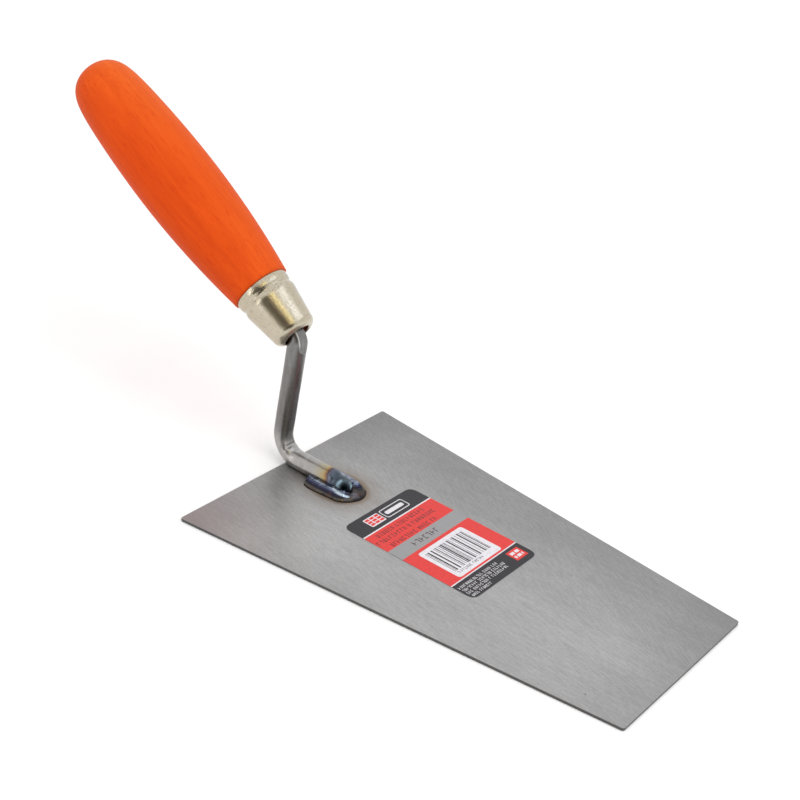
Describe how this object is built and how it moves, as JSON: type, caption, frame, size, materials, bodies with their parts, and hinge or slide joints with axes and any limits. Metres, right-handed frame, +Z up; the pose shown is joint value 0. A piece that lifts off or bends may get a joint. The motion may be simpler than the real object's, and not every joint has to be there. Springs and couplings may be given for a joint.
{
  "type": "brick trowel",
  "caption": "Brick trowel with a flat trapezoidal steel blade, a bent welded shank, a plated ferrule and a turned wooden handle.",
  "frame": {"origin": "middle of the blade's flat working face (its underside)", "axes": "+X from the blade's heel to its toe along the centre line, +Z up away from the working face, +Y across the blade"},
  "size_m": [0.2999, 0.1198, 0.1336],
  "materials": {
    "ground_steel": "ground steel sheet with fine grinding marks",
    "forged_steel": "bare forged bar, satin",
    "weld_metal": "glossy blue-black weld metal with heat colours",
    "nickel_plate": "warm nickel plate, slightly pitted",
    "lacquered_wood": "orange lacquer over turned beech",
    "label_film": "printed gloss film in red and black bands"
  },
  "bodies": {
    "root": {"blade": "ground_steel", "shank": "forged_steel", "weld_bead": "weld_metal", "ferrule": "nickel_plate", "handle": "lacquered_wood", "label": "label_film"}
  },
  "joints": []
}
